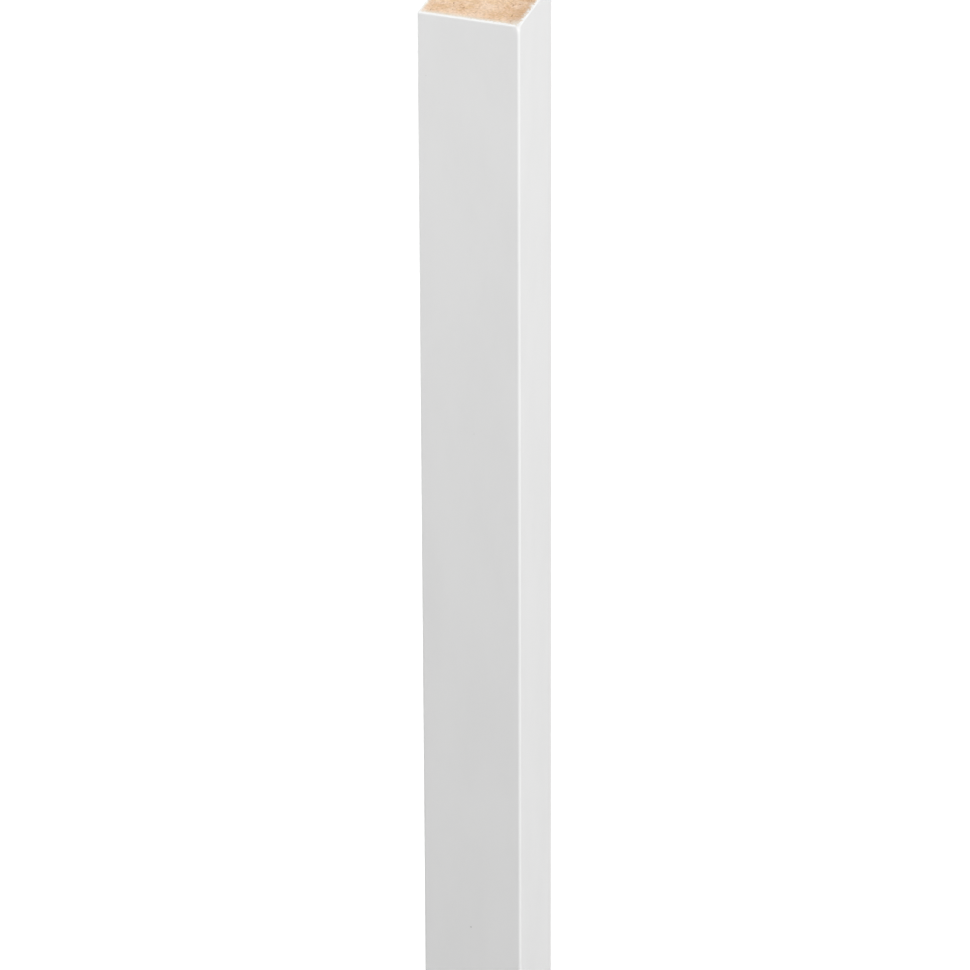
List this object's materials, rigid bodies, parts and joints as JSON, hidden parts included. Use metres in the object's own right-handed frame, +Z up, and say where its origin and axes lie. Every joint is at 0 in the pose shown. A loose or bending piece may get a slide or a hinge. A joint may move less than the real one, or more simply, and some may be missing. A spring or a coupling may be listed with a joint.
{
  "type": "corner moulding",
  "caption": "Straight white-painted corner strip of near-square section with eased arrises and raw, square-cut ends; covers the joint in an inside corner.",
  "frame": {"origin": "middle of the back face, which is fixed to one wall", "axes": "+Z up along the strip, +Y out of the back face into the wall, -Y out of the broad face into the room, +X out of the side face"},
  "size_m": [0.021, 0.02, 0.23],
  "materials": {
    "painted_strip": "satin white paint, raw at the cut ends"
  },
  "bodies": {
    "root": {"corner_moulding": "painted_strip"}
  },
  "joints": []
}
